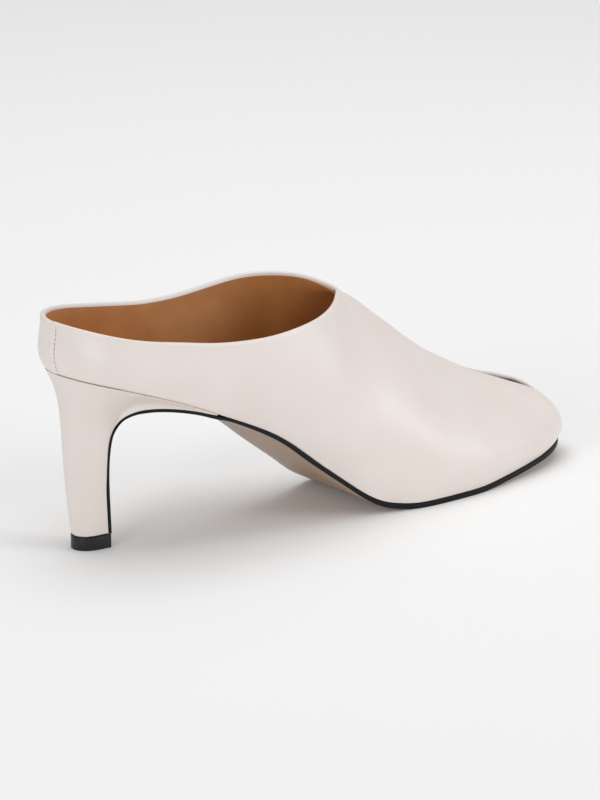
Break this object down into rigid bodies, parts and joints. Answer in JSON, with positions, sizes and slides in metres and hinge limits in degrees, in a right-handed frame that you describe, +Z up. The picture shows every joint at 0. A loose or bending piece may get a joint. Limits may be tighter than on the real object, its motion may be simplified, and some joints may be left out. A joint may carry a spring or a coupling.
{
  "type": "heeled mule",
  "caption": "Closed-toe heeled mule for the right foot in smooth leather, with a low rim round the heel and a slit along the toe.",
  "frame": {"origin": "middle of the top lift's lower face, on the floor under the heel", "axes": "+X to the toe, +Y to the medial side (the inner side of this right shoe), +Z up"},
  "size_m": [0.2496, 0.0763, 0.0901],
  "materials": {
    "cream_leather": "smooth, soft sheen",
    "cream_cover": "smooth, soft sheen",
    "taupe_sole": "matte with black painted edges",
    "black_lift": "glossy",
    "brown_sock": "smooth, matte"
  },
  "bodies": {
    "root": {"upper": "cream_leather", "outsole": "taupe_sole", "heel": "cream_cover", "top_lift": "black_lift", "insole": "brown_sock"}
  },
  "joints": []
}
